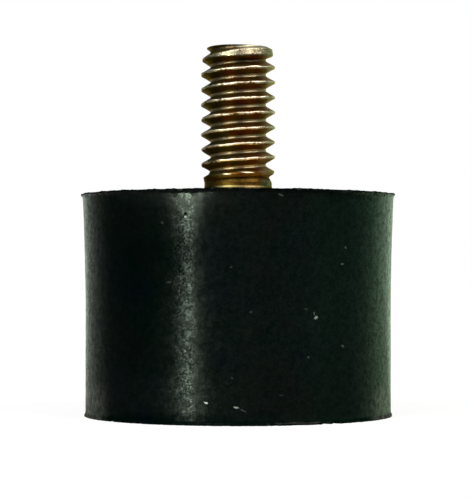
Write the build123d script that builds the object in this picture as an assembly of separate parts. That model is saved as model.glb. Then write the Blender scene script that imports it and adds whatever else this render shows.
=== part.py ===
from build123d import *
from math import ceil, radians, tan
import os

# A cylindrical rubber mount, bonded to a steel plate that carries one threaded stud.
# Sizes are in mm. The origin is the centre of the flat foot, and +Z points along the stud.

# Rubber body
BODY_HEIGHT = 18.65
WAIST_RADIUS = 12.88
WAIST_TOP = 8.0
SHOULDER_RADIUS = 13.12
TOP_LIP_HEIGHT = 0.3
TOP_LIP_PROUD = 0.14
LIP_EDGE = 0.1
FOOT_LIP_HEIGHT = 0.35
FOOT_LIP_PROUD = 0.1

# Steel plate bonded into the top of the rubber
RIM_STAND = 0.2
PLATE_RADIUS = 11.7
PLATE_THICKNESS = 1.5
PLATE_EDGE_ROUND = 0.3
BARE_RADIUS = 10.6

# Stud: 1/4 in, 20 threads to the inch, with a flat head behind the plate
PITCH = 25.4 / 20
MAJOR_RADIUS = 3.125
FLANK_ANGLE = 30.0
CREST_FLAT = PITCH / 8
THREAD_DEPTH = 0.6134 * PITCH
RIDGE_OVERLAP = 0.1
STUD_PROJECTION = 12.5
NECK_RADIUS = 2.855
NECK_FILLET = 0.45
HEAD_RADIUS = 4.75
HEAD_THICKNESS = 1.8
HEAD_EDGE_ROUND = 0.3

# Thread heights above the rubber's top. A crest crosses +X at CREST_HEIGHT
CREST_HEIGHT = 0.62
NECK_LENGTH = 0.98
ROOT_RUN_OUT = 1.1
CREST_RUN_OUT = 1.3

# Lead-in at the stud's tip: a chamfer, then a first crest that is a little low
TIP_RADIUS = 2.5
TIP_CHAMFER = 0.45
LEAD_RADIUS = 2.93
LEAD_LENGTH = 1.7

# Heights above the foot
PLATE_TOP = BODY_HEIGHT - RIM_STAND
PLATE_BOTTOM = PLATE_TOP - PLATE_THICKNESS
HEAD_BOTTOM = PLATE_BOTTOM - HEAD_THICKNESS
NECK_TOP = BODY_HEIGHT + NECK_LENGTH
ROOT_START = NECK_TOP + ROOT_RUN_OUT
CREST_START = NECK_TOP + CREST_RUN_OUT
THREAD_START = BODY_HEIGHT + CREST_HEIGHT
STUD_TOP = BODY_HEIGHT + STUD_PROJECTION
TURNS = ceil((STUD_TOP - THREAD_START) / PITCH) + 1

MINOR_RADIUS = MAJOR_RADIUS - THREAD_DEPTH
LAND_RADIUS = NECK_RADIUS + NECK_FILLET


def turned(outline):
    """The solid of revolution of a closed outline, drawn as (radius, height)."""
    return revolve(Plane.XZ * make_face(outline), Axis.Z)


def rubber_outline():
    """Half of the rubber's section: a slight waist, a flare to the plate and a thin lip at each rim."""
    foot_radius = WAIST_RADIUS + FOOT_LIP_PROUD
    lip_start = BODY_HEIGHT - LIP_EDGE - TOP_LIP_HEIGHT
    lip_radius = SHOULDER_RADIUS + TOP_LIP_PROUD
    foot = Polyline((0, 0), (foot_radius, 0), (foot_radius, LIP_EDGE))
    foot_lip = TangentArc(
        (WAIST_RADIUS, LIP_EDGE + FOOT_LIP_HEIGHT), foot @ 1, tangent=(0, -1)
    )
    waist = Line(foot_lip @ 0, (WAIST_RADIUS, WAIST_TOP))
    flare = TangentArc(waist @ 1, (SHOULDER_RADIUS, lip_start), tangent=(0, 1))
    top_lip = TangentArc(flare @ 1, (lip_radius, BODY_HEIGHT - LIP_EDGE), tangent=flare % 1)
    top = Polyline(top_lip @ 1, (lip_radius, BODY_HEIGHT), (0, BODY_HEIGHT), (0, 0))
    return [foot, foot_lip, waist, flare, top_lip, top]


def plate_blank():
    """The plate before its hole: a stamped disc with rounded edges."""
    disc = Pos(0, 0, PLATE_BOTTOM) * Cylinder(
        PLATE_RADIUS, PLATE_THICKNESS, align=(Align.CENTER, Align.CENTER, Align.MIN)
    )
    return fillet(disc.edges().filter_by(GeomType.CIRCLE), PLATE_EDGE_ROUND)


def stud_head():
    """The head that anchors the stud in the rubber, behind the plate."""
    head = Pos(0, 0, HEAD_BOTTOM) * Cylinder(
        HEAD_RADIUS, HEAD_THICKNESS, align=(Align.CENTER, Align.CENTER, Align.MIN)
    )
    rim = head.edges().filter_by(GeomType.CIRCLE).sort_by(Axis.Z)[0]
    return fillet(rim, HEAD_EDGE_ROUND)


def stud_core():
    """The stud without its thread: head, press land, filleted neck and the cone where the groove dies out."""
    land = Polyline(
        (0, PLATE_BOTTOM - HEAD_THICKNESS / 2),
        (LAND_RADIUS, PLATE_BOTTOM - HEAD_THICKNESS / 2),
        (LAND_RADIUS, PLATE_TOP),
    )
    foot = TangentArc((NECK_RADIUS, PLATE_TOP + NECK_FILLET), land @ 1, tangent=(0, -1))
    neck = Polyline(
        foot @ 0,
        (NECK_RADIUS, NECK_TOP),
        (MINOR_RADIUS, ROOT_START),
        (MINOR_RADIUS, STUD_TOP),
        (0, STUD_TOP),
        land @ 0,
    )
    return turned([land, foot, neck]) + stud_head()


def thread_turn():
    """One turn of the thread's ridge, from the root to just above the crest, starting on +X."""
    slope = tan(radians(FLANK_ANGLE))
    foot_radius = MINOR_RADIUS - RIDGE_OVERLAP
    top_radius = MAJOR_RADIUS + RIDGE_OVERLAP
    foot_half = CREST_FLAT / 2 + (MAJOR_RADIUS - foot_radius) * slope
    top_half = CREST_FLAT / 2 - RIDGE_OVERLAP * slope
    ridge_section = Polyline(
        (foot_radius, -foot_half),
        (top_radius, -top_half),
        (top_radius, top_half),
        (foot_radius, foot_half),
        close=True,
    )
    helix = Helix(PITCH, PITCH, MINOR_RADIUS)
    return sweep(Plane.XZ * make_face(ridge_section), path=helix, is_frenet=True)


def shank_blank():
    """The shank before threading: the run-out cone, the major cylinder and the lead-in at the tip."""
    return turned(
        Polyline(
            (0, NECK_TOP),
            (NECK_RADIUS, NECK_TOP),
            (MAJOR_RADIUS, CREST_START),
            (MAJOR_RADIUS, STUD_TOP - LEAD_LENGTH),
            (LEAD_RADIUS, STUD_TOP - TIP_CHAMFER),
            (TIP_RADIUS, STUD_TOP),
            (0, STUD_TOP),
            close=True,
        )
    )


def threaded_stud():
    """The whole stud: its core, and a right-hand ridge wound round it and trimmed to the blank."""
    turn = thread_turn()
    blank = shank_blank()
    turns = [Pos(0, 0, THREAD_START + i * PITCH) * turn & blank for i in range(TURNS)]
    return stud_core() + turns


def stud_plate():
    """The steel plate, with the hole that the stud's land is pressed into."""
    return plate_blank() - Cylinder(LAND_RADIUS, 2 * STUD_TOP)


def rubber_body():
    """The moulded rubber, closed around the plate and the stud's head, and open over the plate's face."""
    opening = Pos(0, 0, PLATE_TOP) * Cylinder(
        BARE_RADIUS, STUD_TOP, align=(Align.CENTER, Align.CENTER, Align.MIN)
    )
    return turned(rubber_outline()) - plate_blank() - stud_head() - opening


def main():
    os.makedirs("parts", exist_ok=True)
    export_step(rubber_body(), "parts/rubber_body.step")
    export_step(stud_plate(), "parts/stud_plate.step")
    export_step(threaded_stud(), "parts/threaded_stud.step")


main()
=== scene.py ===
from math import atan2, cos, hypot, radians, sin, sqrt, tau

import bpy
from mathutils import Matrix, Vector


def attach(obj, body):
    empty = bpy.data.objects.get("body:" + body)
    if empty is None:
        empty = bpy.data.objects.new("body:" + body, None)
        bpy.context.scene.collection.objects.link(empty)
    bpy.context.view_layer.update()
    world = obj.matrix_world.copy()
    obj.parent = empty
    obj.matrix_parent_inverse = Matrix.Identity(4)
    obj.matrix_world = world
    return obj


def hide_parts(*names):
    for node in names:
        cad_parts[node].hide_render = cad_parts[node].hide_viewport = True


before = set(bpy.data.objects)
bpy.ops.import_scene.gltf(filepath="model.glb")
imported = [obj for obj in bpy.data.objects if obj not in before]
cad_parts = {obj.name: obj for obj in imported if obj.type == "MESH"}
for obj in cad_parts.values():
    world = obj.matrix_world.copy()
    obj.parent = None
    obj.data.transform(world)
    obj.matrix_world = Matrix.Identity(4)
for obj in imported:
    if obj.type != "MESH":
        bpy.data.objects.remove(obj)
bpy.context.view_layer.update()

MM = 0.001

# How close things count as one, in mm: merged vertices, a cut's vertices, a ring picked on a cut
MERGE_WITHIN = 0.0002
CUT_WITHIN = 0.00001
ON_CUT = 0.00002

# Rubber body, in mm
BODY_HEIGHT = 18.65
WAIST_RADIUS = 12.88
WAIST_TOP = 8.0
LIP_EDGE = 0.1
SHOULDER_RADIUS = 13.12
SHOULDER_HEIGHT = BODY_HEIGHT - LIP_EDGE - 0.3
RIM_RADIUS = SHOULDER_RADIUS + 0.14
FOOT_RADIUS = WAIST_RADIUS + 0.1
FOOT_LIP_TOP = LIP_EDGE + 0.35
BARE_RADIUS = 10.6
WALL_STEP = 0.35
BODY_STEPS = 640

# What lies further out than these is wall, top lip or foot lip, and the lips' flash reaches this far
WALL_INSIDE = 12.6
TOP_LIP_INSIDE = 13.05
FOOT_LIP_INSIDE = 12.8
TOP_FLASH = 0.2
FOOT_FLASH = 0.3

# Bites out of the foot's rim: degrees round from the front, width in degrees, depth in mm
NICKS = [(32.3, 1.6, 0.16), (36.7, 1.6, 0.2), (-52, 1.2, 0.12), (104, 2, 0.2), (-140, 2.5, 0.16)]
NICK_TOP = 0.4
NICK_INWARD = 0.6

# Plate in the rubber's top, and the stud's head behind it, in mm
PLATE_TOP = BODY_HEIGHT - 0.2
PLATE_BOTTOM = PLATE_TOP - 1.5
PLATE_RADIUS = 11.7
HEAD_BOTTOM = PLATE_BOTTOM - 1.8
HEAD_RADIUS = 4.75
EDGE_ROUND = 0.3
EDGE_INSET = 0.09

# Stud: 1/4 in, 20 threads to the inch, in mm
PITCH = 25.4 / 20
TURNS = 11
MAJOR_RADIUS = 3.125
MINOR_RADIUS = 2.346
NECK_RADIUS = 2.855
NECK_FILLET = 1.0
LAND_RADIUS = 3.305
NECK_TOP = BODY_HEIGHT + 0.98
ROOT_START = NECK_TOP + 1.1
CREST_START = NECK_TOP + 1.3
THREAD_START = BODY_HEIGHT + 0.62
WAVY_FROM = 20
STUD_STEPS = 160

# The stud's tip, in mm: its lead-in, its chamfer and the dimple in its end as (radius, depth)
STUD_TOP = BODY_HEIGHT + 12.5
TIP_RADIUS = 2.5
TIP_CHAMFER = 0.22
LEAD_RADIUS = 2.9
LEAD_LENGTH = 1.7
LEAD_START = STUD_TOP - LEAD_LENGTH
CHAMFER_START = STUD_TOP - TIP_CHAMFER
DIMPLE = [(2.2, 0.0), (1.6, 0.05), (0.8, 0.09), (0.2, 0.1)]
END_SPARED = 0.05

# The last half turn is thicker, in mm: how far the ridge swells and shrinks again, and at what heights
SWELL = 0.28
SWELLS_OVER = (30.2, 30.4)
SHRINK = 0.26
SHRINKS_OVER = (30.8, 31.1)
ROOT_SPARED = 0.2


# Mesh work


def between(value, low, high, start, end):
    """Runs straight from start to end as a value goes from low to high."""
    part = min(1.0, max(0.0, (value - low) / (high - low)))
    return start + part * (end - start)


def draw_profile(name, points):
    """A new piece: edges in the XZ plane, extruded from point to point as (radius, height) in mm."""
    bpy.ops.object.select_all(action="DESELECT")
    bpy.ops.mesh.primitive_plane_add(size=MM)
    piece = bpy.context.object
    piece.name = piece.data.name = name
    bpy.ops.object.mode_set(mode="EDIT")
    bpy.ops.mesh.select_mode(type="VERT")
    bpy.ops.mesh.merge(type="CENTER")
    radius, height = points[0]
    bpy.ops.transform.translate(value=(radius * MM, 0, height * MM))
    for (r0, z0), (r1, z1) in zip(points, points[1:]):
        step = ((r1 - r0) * MM, 0, (z1 - z0) * MM)
        bpy.ops.mesh.extrude_region_move(TRANSFORM_OT_translate={"value": step})
    return piece


def draw_on(points):
    """Extrudes the selected ring to each (radius, height) in turn, in edit mode."""
    for (radius, height), (next_radius, next_height) in zip(points, points[1:]):
        step = (0, 0, (next_height - height) * MM)
        bpy.ops.mesh.extrude_region_move(TRANSFORM_OT_translate={"value": step})
        scale = next_radius / radius
        bpy.ops.transform.resize(value=(scale, scale, 1), center_override=(0, 0, 0))


def cut_level(height, **sides):
    """Cuts every face at a height, in edit mode."""
    bpy.ops.mesh.select_all(action="SELECT")
    bpy.ops.mesh.bisect(
        plane_co=(0, 0, height * MM), plane_no=(0, 0, 1), threshold=CUT_WITHIN * MM, **sides
    )


def close_mesh():
    """Merges what lies on one spot and turns every face outwards, in edit mode."""
    bpy.ops.mesh.select_all(action="SELECT")
    bpy.ops.mesh.remove_doubles(threshold=MERGE_WITHIN * MM)
    bpy.ops.mesh.normals_make_consistent(inside=False)


def pick_ring(piece, height):
    """Selects the vertices at a height, in edit mode."""
    bpy.ops.mesh.select_all(action="DESELECT")
    bpy.ops.object.mode_set(mode="OBJECT")
    for vertex in piece.data.vertices:
        vertex.select = abs(vertex.co.z / MM - height) < ON_CUT
    bpy.ops.object.mode_set(mode="EDIT")


def weigh(piece, name, weight):
    """A vertex group whose weights come from each vertex's radius and height, in mm."""
    group = piece.vertex_groups.new(name=name)
    for vertex in piece.data.vertices:
        place = vertex.co / MM
        amount = weight(hypot(place.x, place.y), place.z)
        if amount > 0:
            group.add([vertex.index], amount, "REPLACE")


def roughen(piece, group, size, amount, depth=2, direction="NORMAL"):
    """Displaces a vertex group by a cloud of lumps of one size, in mm."""
    cloud = bpy.data.textures.new(group + "_lumps", "CLOUDS")
    cloud.noise_scale = size * MM
    cloud.noise_depth = depth
    cloud.cloud_type = "COLOR" if direction == "RGB_TO_XYZ" else "GRAYSCALE"
    push = piece.modifiers.new(group, "DISPLACE")
    push.texture = cloud
    push.texture_coords = "LOCAL"
    push.direction = direction
    push.vertex_group = group
    push.mid_level = 0.5
    push.strength = amount * MM
    bpy.ops.object.modifier_apply(modifier=push.name)


def give_material(piece, material):
    """Makes one material the piece's only one."""
    piece.data.materials.clear()
    piece.data.materials.append(material)


def finish_piece(piece, node, material, smooth_below):
    """Shades a piece, gives it its finish, hangs it on the root body and hides the node it stands for."""
    bpy.ops.object.select_all(action="DESELECT")
    piece.select_set(True)
    bpy.context.view_layer.objects.active = piece
    bpy.ops.object.shade_smooth_by_angle(angle=radians(smooth_below))
    give_material(piece, material)
    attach(piece, "root")
    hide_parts(node)


# Rubber body


def foot_outline():
    """The flat foot, and the thin lip that curls in from its rim to the wall."""
    foot = [(radius, 0) for radius in (0, 4, 8, 11, 12.2, 12.7, FOOT_RADIUS)]
    for part in (0.0, 0.15, 0.3, 0.45, 0.6, 0.8):
        proud = (FOOT_RADIUS - WAIST_RADIUS) * (1 - part) ** 2
        foot.append((WAIST_RADIUS + proud, LIP_EDGE + part * (FOOT_LIP_TOP - LIP_EDGE)))
    return foot


def wall_outline():
    """A straight waist that flares up to the plate, then the lip that curls out to the top rim."""
    rows = round((SHOULDER_HEIGHT - FOOT_LIP_TOP) / WALL_STEP)
    flare = SHOULDER_RADIUS - WAIST_RADIUS
    wall = []
    for row in range(rows):
        height = FOOT_LIP_TOP + row * (SHOULDER_HEIGHT - FOOT_LIP_TOP) / rows
        part = max(0.0, height - WAIST_TOP) / (SHOULDER_HEIGHT - WAIST_TOP)
        wall.append((WAIST_RADIUS + flare * part**2, height))
    slope = 2 * flare / (SHOULDER_HEIGHT - WAIST_TOP)
    lip_height = BODY_HEIGHT - LIP_EDGE - SHOULDER_HEIGHT
    curl = RIM_RADIUS - SHOULDER_RADIUS - slope * lip_height
    for part in (0.0, 0.2, 0.4, 0.55, 0.7, 0.85, 1.0):
        radius = SHOULDER_RADIUS + slope * part * lip_height + curl * part**2
        wall.append((radius, SHOULDER_HEIGHT + part * lip_height))
    return wall


def rounded_edge(radius, height, inward):
    """The rounded outer edge of a disc, from its side to its face. Inward is 1 if its middle is above."""
    return [
        (radius, height + inward * EDGE_ROUND),
        (radius - EDGE_INSET, height + inward * EDGE_INSET),
        (radius - EDGE_ROUND, height),
    ]


def pocket_outline():
    """The flat top, the opening over the plate, and the pocket for the plate and the stud's head."""
    top_radii = (RIM_RADIUS, 13.16, 13.0, 12.7, 12.2, 11.6, 11.1, 10.8, BARE_RADIUS)
    pocket = [(radius, BODY_HEIGHT) for radius in top_radii]
    pocket += [(BARE_RADIUS, BODY_HEIGHT - 0.11), (BARE_RADIUS, PLATE_TOP)]
    pocket += reversed(rounded_edge(PLATE_RADIUS, PLATE_TOP, -1))
    pocket += rounded_edge(PLATE_RADIUS, PLATE_BOTTOM, 1)
    pocket += [(8, PLATE_BOTTOM), (HEAD_RADIUS, PLATE_BOTTOM)]
    pocket += rounded_edge(HEAD_RADIUS, HEAD_BOTTOM, 1)
    return pocket + [(2, HEAD_BOTTOM), (0, HEAD_BOTTOM)]


def nick_foot(piece):
    """Takes small bites out of the foot's rim, up and inwards."""
    for vertex in piece.data.vertices:
        place = vertex.co / MM
        radius = hypot(place.x, place.y)
        if radius < WALL_INSIDE or place.z > NICK_TOP:
            continue
        for turn, width, depth in NICKS:
            middle = Vector((sin(radians(turn)), -cos(radians(turn)), 0))
            across = (place / radius - middle).length / radians(width)
            bite = depth * max(0.0, 1 - across) * (1 - place.z / NICK_TOP)
            vertex.co.z += bite * MM
            vertex.co.x -= NICK_INWARD * bite * place.x / radius * MM
            vertex.co.y -= NICK_INWARD * bite * place.y / radius * MM


def rubber_body(material):
    """The moulded rubber: its section spun round, then flash on both rims and slight lumps on the wall."""
    piece = draw_profile("rubber_mount_body", foot_outline() + wall_outline() + pocket_outline())
    bpy.ops.mesh.select_all(action="SELECT")
    bpy.ops.mesh.spin(steps=BODY_STEPS, angle=tau, center=(0, 0, 0), axis=(0, 0, 1))
    close_mesh()
    bpy.ops.object.mode_set(mode="OBJECT")

    def on_wall(radius, height):
        return 1.0 if radius > WALL_INSIDE and FOOT_FLASH < height < SHOULDER_HEIGHT + 0.05 else 0.0

    def on_top_lip(radius, height):
        rise = between(height, SHOULDER_HEIGHT, SHOULDER_HEIGHT + TOP_FLASH, 0.0, 1.0)
        return rise if radius > TOP_LIP_INSIDE else 0.0

    def on_foot_lip(radius, height):
        return between(height, 0.0, FOOT_FLASH, 1.0, 0.0) if radius > FOOT_LIP_INSIDE else 0.0

    def on_inner_rim(radius, height):
        return 1.0 if abs(radius - BARE_RADIUS) < 0.1 and height > PLATE_TOP + 0.01 else 0.0

    weigh(piece, "wall", on_wall)
    weigh(piece, "top_lip", on_top_lip)
    weigh(piece, "foot_lip", on_foot_lip)
    weigh(piece, "inner_rim", on_inner_rim)
    roughen(piece, "wall", 1.6, 0.03)
    roughen(piece, "wall", 0.45, 0.01)
    roughen(piece, "top_lip", 0.35, 0.15, depth=3, direction="RGB_TO_XYZ")
    roughen(piece, "top_lip", 2.5, 0.12, direction="RGB_TO_XYZ")
    roughen(piece, "foot_lip", 0.35, 0.12, depth=3, direction="RGB_TO_XYZ")
    roughen(piece, "inner_rim", 0.9, 0.3, depth=3, direction="RGB_TO_XYZ")
    nick_foot(piece)
    for vertex in piece.data.vertices:
        vertex.co.z = max(vertex.co.z, 0.0)
    finish_piece(piece, "rubber_body", material, smooth_below=38)


# Stud


def thread_outline():
    """One pitch of the thread's outline, from root to root, with a rounded crest and rounded roots.

    Its half is drawn as (radius, distance from the crest's middle)."""
    half = [(MAJOR_RADIUS, 0.025), (3.113, 0.068), (3.084, 0.103), (2.93, 0.192), (2.75, 0.296)]
    half += [(2.57, 0.4), (2.43, 0.481), (2.375, 0.53), (2.352, 0.58), (MINOR_RADIUS, PITCH / 2)]
    first_crest = THREAD_START - PITCH
    lower = [(radius, first_crest - height) for radius, height in reversed(half)]
    return lower + [(radius, first_crest + height) for radius, height in half]


def trim_thread(piece):
    """Brings each vertex inside the turned blank, and outside the cone where the groove dies out.

    The ridge loses height over the lead-in, and its last half turn swells into a blunt land."""
    depth = MAJOR_RADIUS - MINOR_RADIUS
    for vertex in piece.data.vertices:
        place = vertex.co / MM
        radius = hypot(place.x, place.y)
        turn = atan2(place.y, place.x) / tau
        ridge = THREAD_START + PITCH * (round((place.z - THREAD_START) / PITCH - turn) + turn)
        lead = between(ridge, LEAD_START, CHAMFER_START, MAJOR_RADIUS, LEAD_RADIUS)
        swell = between(ridge, *SWELLS_OVER, 0.0, SWELL) - between(ridge, *SHRINKS_OVER, 0.0, SHRINK)
        swell = between(radius, MINOR_RADIUS, MINOR_RADIUS + ROOT_SPARED, 0.0, swell)
        ridge_radius = MINOR_RADIUS + (radius - MINOR_RADIUS) * (lead - MINOR_RADIUS) / depth + swell
        crest = between(place.z, NECK_TOP, CREST_START, NECK_RADIUS, MAJOR_RADIUS)
        crest = min(crest, between(place.z, LEAD_START, CHAMFER_START, MAJOR_RADIUS, LEAD_RADIUS))
        if place.z > CHAMFER_START:
            crest = between(place.z, CHAMFER_START, STUD_TOP, LEAD_RADIUS, TIP_RADIUS)
        root = between(place.z, NECK_TOP, ROOT_START, NECK_RADIUS, MINOR_RADIUS)
        scale = min(max(ridge_radius, root), crest) / radius
        vertex.co.x *= scale
        vertex.co.y *= scale


def neck_outline():
    """The stud below its thread: neck, fillet, press land and head."""
    points = [(NECK_RADIUS, NECK_TOP - drop) for drop in (0.0, 0.03, 0.11)]
    for turn in range(0, 91, 6):
        reach = NECK_FILLET * (1 - cos(radians(turn)))
        drop = NECK_FILLET * sin(radians(turn))
        points.append((NECK_RADIUS + reach, PLATE_TOP + NECK_FILLET - drop))
    points += [(LAND_RADIUS, PLATE_TOP), (LAND_RADIUS, PLATE_BOTTOM), (HEAD_RADIUS, PLATE_BOTTOM)]
    return points + rounded_edge(HEAD_RADIUS, HEAD_BOTTOM, 1) + [(0.8, HEAD_BOTTOM)]


def tip_outline():
    """The stud's end face, in from the chamfer to its shallow dimple."""
    return [(TIP_RADIUS, STUD_TOP)] + [(radius, STUD_TOP - depth) for radius, depth in DIMPLE]


def threaded_stud(material):
    """The stud: one pitch wound up and trimmed to its blank, then neck and head drawn down from it."""
    piece = draw_profile("threaded_mount_stud", thread_outline())
    bpy.ops.object.mode_set(mode="OBJECT")
    wind = piece.modifiers.new("wind", "SCREW")
    wind.axis = "Z"
    wind.angle = tau
    wind.screw_offset = PITCH * MM
    wind.iterations = TURNS
    wind.steps = wind.render_steps = STUD_STEPS
    wind.use_merge_vertices = True
    wind.merge_threshold = MERGE_WITHIN * MM
    bpy.ops.object.modifier_apply(modifier=wind.name)
    bpy.ops.object.mode_set(mode="EDIT")
    close_mesh()
    cut_level(NECK_TOP, clear_inner=True)
    cut_level(STUD_TOP, clear_outer=True)
    for height in (ROOT_START, CREST_START, LEAD_START, CHAMFER_START):
        cut_level(height)
    bpy.ops.object.mode_set(mode="OBJECT")
    trim_thread(piece)
    bpy.ops.object.mode_set(mode="EDIT")
    for height, outline in ((NECK_TOP, neck_outline()), (STUD_TOP, tip_outline())):
        pick_ring(piece, height)
        draw_on(outline)
        bpy.ops.mesh.merge(type="CENTER")
    close_mesh()
    bpy.ops.object.mode_set(mode="OBJECT")

    def on_crest(radius, height):
        rise = between(radius, LEAD_RADIUS, LEAD_RADIUS + 0.15, 0.0, 1.0)
        return rise if WAVY_FROM < height < STUD_TOP - END_SPARED else 0.0

    def on_shank(radius, height):
        return 1.0 if NECK_TOP < height < STUD_TOP - END_SPARED else 0.0

    weigh(piece, "crest", on_crest)
    weigh(piece, "shank", on_shank)
    roughen(piece, "shank", 0.5, 0.03)
    roughen(piece, "crest", 0.9, 0.12, direction="RGB_TO_XYZ")
    finish_piece(piece, "threaded_stud", material, smooth_below=50)


# Shader work


class Wire:
    """A shader socket that can stand in a sum: each operator adds the Math node that works it out."""

    def __init__(self, finish, socket):
        self.finish = finish
        self.socket = socket

    def math(self, operation, *terms):
        return self.finish.node("Math", {"operation": operation}, dict(enumerate(terms)))

    def __add__(self, other):
        return self.math("ADD", self, other)

    def __radd__(self, other):
        return self.math("ADD", other, self)

    def __sub__(self, other):
        return self.math("SUBTRACT", self, other)

    def __rsub__(self, other):
        return self.math("SUBTRACT", other, self)

    def __mul__(self, other):
        return self.math("MULTIPLY", self, other)

    def __rmul__(self, other):
        return self.math("MULTIPLY", other, self)

    def __or__(self, other):
        return self.math("MAXIMUM", self, other)


class Finish:
    """A material or the world being wired up."""

    def __init__(self, owner):
        owner.use_nodes = True
        self.owner = owner
        self.tree = owner.node_tree
        self.tree.nodes.clear()

    def node(self, kind, settings=None, sockets=None, out=0):
        """Adds one node: its settings, then each socket's value or link. Gives one of its outputs."""
        node = self.tree.nodes.new("ShaderNode" + kind)
        for key, value in (settings or {}).items():
            if key == "stops":
                for place, colour in value[len(node.color_ramp.elements):]:
                    node.color_ramp.elements.new(place)
                for element, (place, colour) in zip(node.color_ramp.elements, value):
                    element.position = place
                    element.color = colour
            else:
                setattr(node, key, value)
        for key, value in (sockets or {}).items():
            if isinstance(value, Wire):
                self.tree.links.new(value.socket, node.inputs[key])
            else:
                node.inputs[key].default_value = value
        return Wire(self, node.outputs[out]) if node.outputs else None

    def vector(self, operation, *terms, **named):
        """A sum on vectors."""
        out = "Value" if operation == "LENGTH" else "Vector"
        return self.node("VectorMath", {"operation": operation}, {**dict(enumerate(terms)), **named}, out)

    def place(self):
        """The piece's own coordinates, in mm."""
        return self.vector("SCALE", self.node("TexCoord", out="Object"), Scale=1 / MM)

    def along(self, place, axis):
        """How far a place lies along one axis."""
        return self.node("SeparateXYZ", None, {0: place}, out=axis)

    def reach(self, place):
        """How far a place is from the mount's axis."""
        return self.vector("LENGTH", self.vector("MULTIPLY", place, (1, 1, 0)))

    def lumps(self, place, per_mm, detail=2.0, roughness=0.5):
        """Noise with so many lumps to the mm, from 0 to 1."""
        sockets = {"Vector": place, "Scale": per_mm, "Detail": detail, "Roughness": roughness}
        return self.node("TexNoise", None, sockets)

    def rise(self, value, low, high, to_low=0.0, to_high=1.0):
        """A smooth step from one value to another as a value goes from low to high."""
        sockets = {"Value": value, "From Min": low, "From Max": high, "To Min": to_low, "To Max": to_high}
        return self.node("MapRange", {"interpolation_type": "SMOOTHSTEP"}, sockets)

    def strip(self, value, left, right):
        """1 between two soft edges, 0 outside them."""
        return self.rise(value, *left) * self.rise(value, *right)

    def ramp(self, value, stops):
        """A colour that changes along a value, with a stop at each (value, colour)."""
        return self.node("ValToRGB", {"stops": stops}, {"Fac": value})

    def blend(self, mask, under, over):
        """A colour that goes from one to another as the mask goes from 0 to 1."""
        return self.node("Mix", {"data_type": "RGBA"}, {0: mask, 6: under, 7: over}, out=2)

    def spot(self, place, middle, size, tilt=0.0):
        """A soft-edged spot on the front: 1 in the middle, 0 outside."""
        sockets = {"Vector": place, "Location": middle, "Rotation": (0, radians(tilt), 0), "Scale": size}
        local = self.node("Mapping", {"vector_type": "TEXTURE"}, sockets)
        return self.rise(self.vector("LENGTH", local), 1.0, 0.35)

    def bump(self, height, depth, **over):
        """A normal roughened by a height from 0 to 1, so many mm deep, over another if one is given."""
        return self.node("Bump", None, {"Height": height, "Distance": depth * MM, **over})

    def surface(self, **sockets):
        """The Principled shader, joined to the output."""
        named = {key.replace("_", " "): value for key, value in sockets.items()}
        self.output(self.node("BsdfPrincipled", None, named))

    def output(self, shader, kind="OutputMaterial"):
        """Joins a shader to the output."""
        self.node(kind, None, {"Surface": shader})


def new_finish(name):
    return Finish(bpy.data.materials.new(name))


def rgb(red, green, blue):
    return (red, green, blue, 1)


# Rubber finish

# Where the rubber's finish changes, in mm from none to full: across the front
LEFT_FLANK = (-8.0, -11.5)
RIGHT_FLANK = (-3.8, 2.4)
RUBBED_STRIP = ((-5.4, -4.7), (-3.2, -3.8))
DULL_STRIP = ((0.0, 3.0), (10.4, 8.0))
GREEN_SIDE = (4.5, 7.0)
PALE_FOOT_LEFT = (-10.3, -12.0)
PALE_FOOT_RIGHT = (10.3, 12.0)

# Up the wall
PALE_FOOT_HEIGHTS = (3.6, 1.4)
WALL_ALONE = ((0.25, 0.5), (18.62, 18.47))
POLISHED_TOP = (16.9, 18.0)

# Out from the axis: the foot and the top inside their rims
DECK = (12.7, 12.5)

# The pit in the wall
PIT_MIDDLE = (-4.17, -12.2, 16.66)
PIT_SIZE = (0.17, 1.0, 0.18)
PIT_DEPTH = 0.12

# Gloss up the wall: (part of the height, gloss)
WALL_GLOSS = [(0.03, 0.2), (0.06, 0.9), (0.17, 0.9), (0.24, 0.5), (0.36, 0.52),
              (0.6, 0.34), (0.74, 0.2), (0.82, 0.48), (0.92, 0.7), (0.96, 1.0)]

# Blacks of the rubber and the lighter green black of its right side, which is painted light, then what lies
# on it and the pit's painted shade
BLACKS = [(0.35, rgb(0.0004, 0.0022, 0.0030)), (0.5, rgb(0.0002, 0.0028, 0.0020)),
          (0.65, rgb(0.0012, 0.0026, 0.0022))]
# Painted light: the right side's black, lighter and greener as if lit from the right
RIGHT_LIT_GREEN_BLACK = rgb(0.0008, 0.0052, 0.0032)
# Painted shade for the pit's hollow
PIT_SHADE_BLACK = rgb(0.0005, 0.0005, 0.0005)
DECK_GREY = rgb(0.02, 0.023, 0.022)
# A paler grey for the lower wall at both sides
PALE_FOOT_GREY = rgb(0.5, 0.48, 0.42)
CHALK = rgb(0.72, 0.76, 0.70)

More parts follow.
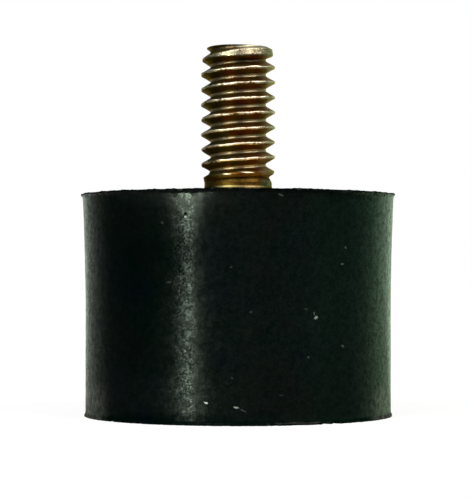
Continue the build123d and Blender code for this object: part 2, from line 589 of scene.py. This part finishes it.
# Scuffs and specks on the wall's front, in mm: across, up, half width, half height, then tilt, strength
SPECKS = [
    (-2.55, 1.82, 0.22, 0.09, 24, 1.0),
    (-0.17, 1.47, 0.26, 0.08, 8, 0.48),
    (0.4, 1.22, 0.36, 0.07, 26, 0.06),
    (6.15, 8.46, 0.2, 0.16, -30, 0.34),
    (6.0, 8.8, 0.05, 0.22, 0, 0.16),
    (5.35, 9.15, 0.26, 0.1, 15, 0.036),
    (0.98, 8.93, 0.16, 0.14, -30, 0.03),
    (5.53, 5.36, 0.16, 0.13, 20, 0.05),
    (8.34, 6.16, 0.16, 0.11, 30, 0.1),
    (8.29, 12.72, 0.15, 0.1, 10, 0.12),
    (8.58, 14.04, 0.08, 0.15, 0, 0.09),
    (-0.57, 12.46, 0.13, 0.13, 0, 0.03),
    (11.63, 12.42, 0.06, 0.14, 0, 0.35),
    (-5.99, 15.98, 0.17, 0.14, 0, 0.038),
    (-5.48, 11.28, 0.3, 0.09, -6, 0.046),
    (-4.2, 5.85, 0.16, 0.08, 30, 0.45),
    (3.36, 2.4, 0.24, 0.1, 0, 0.02),
    (-0.49, 3.76, 0.08, 0.13, 0, 0.04),
    (-4.15, 16.4, 0.13, 0.1, 0, 0.5),
    (3.36, 18.13, 0.3, 0.1, 20, 0.07),
    (-4.25, 1.08, 0.28, 0.07, -14, 0.16),
]


def shaken_place(finish, place):
    """Coordinates that wander a little, so that a spot's edge is uneven."""
    wobble = finish.node("TexNoise", None, {"Vector": place, "Scale": 6.0, "Detail": 1.0}, out="Color")
    wobble = finish.vector("SUBTRACT", wobble, (0.5, 0.5, 0.5))
    return finish.vector("ADD", place, finish.vector("SCALE", wobble, Scale=0.16))


def speck_marks(finish, shaken):
    """Where the scuffs and specks are, and how strong each is."""
    specks = None
    for across, up, wide, high, tilt, strength in SPECKS:
        middle = (across, -sqrt(WAIST_RADIUS**2 - across**2), up)
        mark = strength * finish.spot(shaken, middle, (wide, 1.0, high), tilt)
        specks = mark if specks is None else specks | mark
    return specks


def rubber_gloss(finish, place, patch, bloom, deck):
    """The coat's weight: polished and scuffed at the front, hazy round the sides, low on the rims."""
    up = finish.along(place, "Z")
    across = finish.along(place, "X")
    greys = [(part, rgb(gloss, gloss, gloss)) for part, gloss in WALL_GLOSS]
    sheen = finish.ramp(up * (1 / BODY_HEIGHT), greys)
    polish = finish.rise(up, *POLISHED_TOP, to_low=0.2, to_high=0.6)
    front_strip = finish.strip(across, *RUBBED_STRIP)
    speckle = 0.4 + (0.35 + 0.65 * front_strip) * (bloom - 0.4)
    gloss = sheen * (polish + 1.3 * speckle * (0.25 + 0.9 * patch))
    haze = (0.35 + 0.45 * patch + 0.35 * bloom) * (1 - 0.33 * finish.strip(across, *DULL_STRIP))
    flank = finish.rise(across, *LEFT_FLANK) | finish.rise(across, *RIGHT_FLANK)
    gloss = (gloss + flank * (haze - gloss)) * (0.1 + 0.9 * finish.strip(up, *WALL_ALONE))
    return gloss + deck * (0.5 * haze - gloss)


def rubber_tone(finish, place, patch, deck):
    """The rubber's colour: black, greener and lighter on the right where light from that side is painted
    in, grey on top and paler at the foot's sides.
    """
    up = finish.along(place, "Z")
    across = finish.along(place, "X")
    tone = finish.ramp(finish.lumps(place, per_mm=0.22), BLACKS)
    # Painted light from the right: the black turns lighter and greener on that side
    tone = finish.blend(0.7 * finish.rise(across, *GREEN_SIDE), tone, RIGHT_LIT_GREEN_BLACK)
    # Paler towards the foot at both sides, in patches
    sides = finish.rise(across, *PALE_FOOT_LEFT) | finish.rise(across, *PALE_FOOT_RIGHT)
    pale_foot = finish.rise(up, *PALE_FOOT_HEIGHTS) * sides
    tone = finish.blend(0.16 * pale_foot * (0.2 + 0.8 * patch), tone, PALE_FOOT_GREY)
    return finish.blend(deck * (0.2 + 0.6 * patch), tone, DECK_GREY)


def moulded_rubber():
    """Black rubber with a fine matt grain, a patchy bloom, faint drag lines, scuffs, specks and one pit,
    whose hollow is painted dark as shade.
    """
    finish = new_finish("moulded_black_rubber")
    place = finish.place()
    grain = finish.lumps(place, per_mm=5.5, roughness=0.6)
    clusters = finish.lumps(place, per_mm=2.0, detail=3.0, roughness=0.6)
    mottle = finish.lumps(place, per_mm=0.8, detail=3.0, roughness=0.6)
    drawn_out = finish.vector("MULTIPLY", place, (0.35, 0.35, 3.0))
    drag = finish.lumps(drawn_out, per_mm=1.3, detail=3.0, roughness=0.6)
    bloom = finish.rise(grain, 0.38, 0.66)
    patch = finish.rise(clusters, 0.32, 0.68) * (0.6 + 0.6 * mottle)
    deck = finish.rise(finish.reach(place), *DECK)
    shaken = shaken_place(finish, place)
    pit = finish.spot(shaken, PIT_MIDDLE, PIT_SIZE)
    gloss = rubber_gloss(finish, place, patch, bloom, deck) * (1 - pit)
    tone = rubber_tone(finish, place, patch, deck)
    tone = finish.blend(speck_marks(finish, shaken), tone, CHALK)
    # Painted shade: the pit's hollow is darkened in the colour
    tone = finish.blend(pit, tone, PIT_SHADE_BLACK)
    normal = finish.bump(grain, depth=0.002)
    normal = finish.bump(drag, depth=0.002, Normal=normal)
    normal = finish.bump(1 - pit, depth=PIT_DEPTH, Normal=normal)
    finish.surface(
        Base_Color=tone, Roughness=0.6 - 0.1 * patch, Normal=normal, Specular_IOR_Level=0.0,
        Coat_Weight=gloss, Coat_Roughness=0.23, Coat_IOR=1.75,
    )
    return finish.owner


# Zinc finish

# Passivated zinc, from its olive patches through brown and copper to pale gold
TONE_STOPS = (0.3, 0.45, 0.58, 0.72)
THREAD_TONES = [rgb(0.085, 0.08, 0.02), rgb(0.15, 0.08, 0.018),
                rgb(0.17, 0.055, 0.01), rgb(0.2, 0.105, 0.02)]
PLATE_TONES = [rgb(0.32, 0.31, 0.11), rgb(0.44, 0.33, 0.11),
               rgb(0.46, 0.29, 0.09), rgb(0.56, 0.44, 0.17)]
EDGE_TINT = rgb(0.7, 0.55, 0.35)
DIRT = rgb(0.03, 0.022, 0.012)

# The thread's sides, neck, roots and wear, among them painted reflections, painted shade and painted
# highlights
LEFT_REFLECTION_OLIVE = rgb(0.13, 0.12, 0.04)
LEFT_EDGE_SHADE_OLIVE = rgb(0.03, 0.032, 0.012)
RIGHT_REFLECTION_OLIVE = rgb(0.62, 0.5, 0.29)
BROWN_FLECKS = rgb(0.035, 0.022, 0.009)
RUN_OUT_SHADE_BROWN = rgb(0.07, 0.04, 0.008)
NECK_GOLD = rgb(0.13, 0.066, 0.012)
NECK_RIGHT_REFLECTION_GREY = rgb(0.22, 0.225, 0.16)
NECK_LEFT_REFLECTION_OLIVE = rgb(0.12, 0.11, 0.06)
NECK_MOTTLE = rgb(0.05, 0.024, 0.005)
FOOT_SHADE = rgb(0.06, 0.042, 0.018)
FOOT_HIGHLIGHT_GOLD = rgb(0.5, 0.38, 0.17)
LAND_GOLD = rgb(0.44, 0.33, 0.11)
COPPER = rgb(0.66, 0.47, 0.33)
ROOT_HIGHLIGHT_GOLD = rgb(0.95, 0.76, 0.5)
GLINT_GOLD = rgb(0.8, 0.66, 0.46)
CHAMFER_BROWN = rgb(0.16, 0.11, 0.06)
CHAMFER_REFLECTION_OLIVE = rgb(0.55, 0.52, 0.38)
BRIGHT_CREST = rgb(0.92, 0.76, 0.6)
DULL_CREST = rgb(0.6, 0.5, 0.36)
TIP_SPECKLE = rgb(0.2, 0.165, 0.09)

# Where the stud's tones change, in mm from none to full: up its height
RUN_OUT = (20.2, 19.95)
MOTTLED_BELOW = (20.1, 19.9)
NECK = (20.0, 19.7)
NECK_FOOT = (19.36, 19.24)
FOOT_LINE = (19.17, 19.26)
LAND = (18.8, 18.55)
COPPER_BELOW = (29.95, 29.4)
WORN_ABOVE = (19.7, 20.0)
DULL_TIP = 30.7

# Across it: the first three drift by up to 2 mm with the patches
OLIVE_SIDE = (0.3, -0.9)
PALE_SIDE = (2.6, 3.6)
CHAMFER_SIDE = (0.6, 2.0)
LEFT_TIPS = (-2.0, -2.7)
NECK_LEFT = (-1.9, -2.6)
NECK_RIGHT = (1.7, 2.6)
FOOT_HIGHLIGHT_SPAN = ((-2.3, -1.2), (2.8, 1.9))
ROOT_HIGHLIGHT_SPAN = ((0.2, 0.7), (1.9, 1.4))

# Out from its axis, where wear counts a little more on flecks and at the tip
ROOT = (2.44, 2.37)
WEAR = (3.185, 3.25)

# Glints on the thread's run-out, in mm: across, up, half width. All face the front and have one height
GLINTS = ((-0.95, 20.27, 0.5), (0.7, 20.42, 0.9))
GLINT_FRONT = -2.9
GLINT_HALF_HEIGHT = 0.09


def side_hue(finish, place, hue, patches, fine):
    """Painted light on the stud's sides: an olive reflection on the left, painted shade darkest at the
    crests' tips on the left edge, and a pale olive reflection on the right.
    """
    across = finish.along(place, "X")
    drifting = across + 2 * patches
    # Painted reflection: olive on the left side, its edge broken up by the patches
    hue = finish.blend(0.8 * finish.rise(drifting, *OLIVE_SIDE), hue, LEFT_REFLECTION_OLIVE)
    # Painted shade at the left edge
    hue = finish.blend(0.75 * finish.rise(across, *LEFT_TIPS), hue, LEFT_EDGE_SHADE_OLIVE)
    # Painted reflection: pale olive on the right side, where the white behind shows
    hue = finish.blend(0.7 * finish.rise(drifting, *PALE_SIDE), hue, RIGHT_REFLECTION_OLIVE)
    return finish.blend(0.5 * finish.rise(fine, 0.4, 0.68), hue, BROWN_FLECKS)


def neck_hue(finish, place, hue, flecks):
    """A run-out darkened with painted shade, a gold neck with painted reflections greyer at both sides,
    painted shade at its foot crossed by a painted highlight line, and the gold land.
    """
    across = finish.along(place, "X")
    up = finish.along(place, "Z")
    # Painted shade: the run-out cone is darkened in the colour
    hue = finish.blend(finish.rise(up, *RUN_OUT), hue, RUN_OUT_SHADE_BROWN)
    hue = finish.blend(finish.rise(up, NECK_TOP, NECK_TOP - 0.06), hue, NECK_GOLD)
    neck = finish.rise(up, *NECK)
    # Painted reflections on the neck: grey on the right, olive on the left
    hue = finish.blend(neck * finish.rise(across, *NECK_RIGHT), hue, NECK_RIGHT_REFLECTION_GREY)
    hue = finish.blend(neck * finish.rise(across, *NECK_LEFT), hue, NECK_LEFT_REFLECTION_OLIVE)
    mottled = finish.rise(flecks, 0.42, 0.62) * finish.rise(up, *MOTTLED_BELOW)
    hue = finish.blend(0.6 * mottled, hue, NECK_MOTTLE)
    foot = finish.rise(up, *NECK_FOOT)
    hue = finish.blend(foot, hue, FOOT_SHADE)
    hue = finish.blend(finish.rise(up, *LAND), hue, LAND_GOLD)
    # Painted highlight: a gold line across the middle of the neck's foot
    front_strip = finish.strip(across, *FOOT_HIGHLIGHT_SPAN) * finish.rise(up, *FOOT_LINE)
    return finish.blend(foot * front_strip, hue, FOOT_HIGHLIGHT_GOLD)


def root_hue(finish, place, hue):
    """Copper in the roots, with a painted highlight right of the middle, and two glints where the groove
    dies out.
    """
    across = finish.along(place, "X")
    up = finish.along(place, "Z")
    root = finish.rise(finish.reach(place), *ROOT) * finish.rise(up, *COPPER_BELOW)
    # Painted highlight in the roots right of the middle
    copper = finish.blend(finish.strip(across, *ROOT_HIGHLIGHT_SPAN), COPPER, ROOT_HIGHLIGHT_GOLD)
    hue = finish.blend(0.75 * root, hue, copper)
    for glint_across, glint_up, wide in GLINTS:
        middle = (glint_across, GLINT_FRONT, glint_up)
        glint = finish.spot(place, middle, (wide, 1.0, GLINT_HALF_HEIGHT), tilt=4.0)
        hue = finish.blend(glint, hue, GLINT_GOLD)
    return hue


def worn_hue(finish, place, hue, patches, flecks, fine):
    """The chamfer's brown and a painted pale olive reflection on its right, then wear: bright crests,
    broader and speckled on the lead-in.
    """
    across = finish.along(place, "X")
    up = finish.along(place, "Z")
    chamfer = finish.rise(up, DULL_TIP, DULL_TIP + 0.06)
    hue = finish.blend(chamfer, hue, CHAMFER_BROWN)
    # Painted reflection: pale olive on the chamfer's right, broken up by the patches
    hue = finish.blend(chamfer * finish.rise(across + 2 * patches, *CHAMFER_SIDE), hue, CHAMFER_REFLECTION_OLIVE)
    tip = finish.rise(up, LEAD_START, DULL_TIP)
    bright = finish.blend(tip, BRIGHT_CREST, DULL_CREST)
    bright = finish.blend(finish.rise(fine, 0.44, 0.58) * tip, bright, TIP_SPECKLE)
    reach = finish.reach(place) + 0.19 * tip + 0.24 * flecks
    worn = finish.rise(reach, *WEAR) * finish.rise(up, *WORN_ABOVE)
    return finish.blend(worn, hue, bright)


def passivated_zinc(name, tones, threaded):
    """Yellow-passivated zinc in patches. On the thread it has painted reflections and shade in other tones
    at its sides, painted shade and highlights at its neck and roots, and is worn bright.
    """
    finish = new_finish(name)
    place = finish.place()
    patches = finish.lumps(place, per_mm=0.55, detail=3.0, roughness=0.6)
    flecks = finish.lumps(place, per_mm=4.0, detail=3.0, roughness=0.65)
    hue = finish.ramp(patches, list(zip(TONE_STOPS, tones)))
    if threaded:
        fine = finish.lumps(place, per_mm=9.0, roughness=0.6)
        hue = side_hue(finish, place, hue, patches, fine)
        hue = neck_hue(finish, place, hue, flecks)
        hue = root_hue(finish, place, hue)
        hue = worn_hue(finish, place, hue, patches, flecks, fine)
    hue = finish.blend(0.7 * finish.rise(flecks, 0.58, 0.72), hue, DIRT)
    finish.surface(
        Base_Color=hue, Metallic=1.0, Roughness=0.32 + 0.16 * flecks + 0.08 * patches,
        Normal=finish.bump(flecks, depth=0.02), Specular_Tint=EDGE_TINT,
    )
    return finish.owner


# Studio, in metres and degrees

MIDDLE_HEIGHT = 0.015
LAMP_DISTANCE = 0.5
EYE = (-0.00018, -0.173, 0.011685)
EYE_RISE = 0.757
LENS = 147.1
WHITE = rgb(1, 1, 1)
LEFT_WHITE = rgb(0.88, 1.0, 0.84)
RIGHT_WHITE = rgb(0.5, 1.0, 0.48)
LEFT_GLOOM = rgb(0.008, 0.012, 0.011)
ROOM_DIM = rgb(0.05, 0.065, 0.055)
RIGHT_DIM = rgb(0.1, 0.21, 0.16)
FLOOR_DULL = rgb(0.04, 0.04, 0.04)
FLOOR_PALE = rgb(0.85, 0.85, 0.85)

# Where the surroundings change, from none to full, by a direction's share to the right, behind or up
GREENER = (0.05, 0.8)
DARKER_LEFT = (-0.44, -0.75)
DARKER_RIGHT = (0.4, 0.52)
GLOOM_ENDS = (-0.85, -0.5)
DIM_RIGHT = (0.2, 1.0)
WHITE_BEHIND = (0.22, 0.95)
WHITE_RIM = (0.84, 0.96)
WHITE_BELOW = (0.55, 0.2)


def soft_lamp(name, turn, rise, size, watts, colour=(1, 1, 1)):
    """A soft box that faces the mount: degrees right of the camera's side, and degrees up."""
    lamp = bpy.data.lights.new(name, "AREA")
    lamp.shape = "RECTANGLE"
    lamp.size, lamp.size_y = size
    lamp.energy = watts
    lamp.color = colour
    box = bpy.data.objects.new(name, lamp)
    bpy.context.collection.objects.link(box)
    level = LAMP_DISTANCE * cos(radians(rise))
    height = MIDDLE_HEIGHT + LAMP_DISTANCE * sin(radians(rise))
    box.location = (level * sin(radians(turn)), -level * cos(radians(turn)), height)
    ahead = Vector((0, 0, MIDDLE_HEIGHT)) - box.location
    box.rotation_euler = ahead.to_track_quat("-Z", "Y").to_euler()
    box.visible_camera = False


def backdrop(finish, heading):
    """How white a direction is, and the tint of its white.

    It is white to the eye. In reflections it is white behind the object, and greener on the right."""
    side, behind, high = (finish.along(heading, axis) for axis in "XYZ")
    seen = finish.node("LightPath", out="Is Camera Ray")
    seen = seen | finish.node("LightPath", out="Is Transmission Ray")
    tint = finish.blend(finish.rise(side, *GREENER), LEFT_WHITE, RIGHT_WHITE)
    tint = finish.blend(seen, tint, WHITE)
    mirrored = finish.rise(behind + 0.12 * side, *WHITE_BEHIND) * (0.53 - 0.01 * side)
    darker = 0.3 * finish.rise(side, *DARKER_LEFT) + 0.18 * finish.rise(side, *DARKER_RIGHT)
    rim = 0.62 * finish.rise(behind + 0.05 * side, *WHITE_RIM)
    mirrored = (mirrored * (1 - darker) + rim) * finish.rise(high, *WHITE_BELOW)
    return seen | finish.node("LightPath", out="Is Glossy Ray") * mirrored, tint


def white_world():
    """White to the eye and behind the object, dim elsewhere, and less dim on the right."""
    world = bpy.data.worlds.new("studio")
    bpy.context.scene.world = world
    finish = Finish(world)
    heading = finish.node("TexCoord", out="Generated")
    white_part, tint = backdrop(finish, heading)
    side = finish.along(heading, "X")
    room = finish.blend(finish.rise(side, *GLOOM_ENDS), LEFT_GLOOM, ROOM_DIM)
    room = finish.blend(finish.rise(side, *DIM_RIGHT), room, RIGHT_DIM)
    dim = finish.node("Background", None, {"Color": room, "Strength": 1.0})
    white = finish.node("Background", None, {"Color": tint, "Strength": 1.0})
    shader = finish.node("MixShader", None, {0: white_part, 1: dim, 2: white})
    finish.output(shader, "OutputWorld")


def pale_floor():
    """A pale floor that takes the object's soft shadow, and glows more as it runs out into the white."""
    bpy.ops.object.select_all(action="DESELECT")
    bpy.ops.mesh.primitive_plane_add(size=3, location=(0, 0, 0))
    floor = bpy.context.object
    floor.name = "floor"
    finish = new_finish("pale_floor")
    place = finish.place()
    glow = finish.rise(finish.vector("LENGTH", place), 80, 500, 1.03, 1.25)
    heading = finish.vector("NORMALIZE", finish.vector("ADD", place, (0, 12, 0)))
    white_part, tint = backdrop(finish, heading)
    dull = finish.node("BsdfDiffuse", None, {"Color": FLOOR_DULL})
    pale = finish.node("BsdfDiffuse", None, {"Color": FLOOR_PALE})
    white = finish.node("Emission", None, {"Color": finish.vector("SCALE", tint, Scale=glow)})
    lit = finish.node("MixShader", None, {0: 0.85, 1: pale, 2: white})
    finish.output(finish.node("MixShader", None, {0: white_part, 1: dull, 2: lit}))
    give_material(floor, finish.owner)


def camera():
    """A long lens just above the middle of the rubber, looking a little up."""
    lens = bpy.data.cameras.new("camera")
    lens.lens = LENS
    lens.clip_start = 0.01
    lens.clip_end = 10
    eye = bpy.data.objects.new("camera", lens)
    bpy.context.collection.objects.link(eye)
    eye.location = EYE
    eye.rotation_euler = (radians(90 + EYE_RISE), 0, 0)
    bpy.context.scene.camera = eye


bpy.context.scene.view_settings.view_transform = "Standard"
camera()
white_world()
pale_floor()
soft_lamp("key_strip", -36.2, 12, (0.06, 0.4), 1.5, (0.8, 1.0, 0.77))
soft_lamp("top_left", -38, 50, (0.26, 0.25), 1.5)
soft_lamp("top_right", 54, 43, (0.34, 0.25), 2.2, (1.0, 0.94, 0.87))
soft_lamp("overhead", 0, 85, (0.4, 0.4), 0.8)
soft_lamp("right_card", 140, 8, (0.3, 0.5), 0.12, (0.92, 1, 0.9))

rubber_body(moulded_rubber())
threaded_stud(passivated_zinc("yellow_zinc_thread", THREAD_TONES, threaded=True))
plate_finish = passivated_zinc("yellow_zinc_plate", PLATE_TONES, threaded=False)
give_material(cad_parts["stud_plate"], plate_finish)
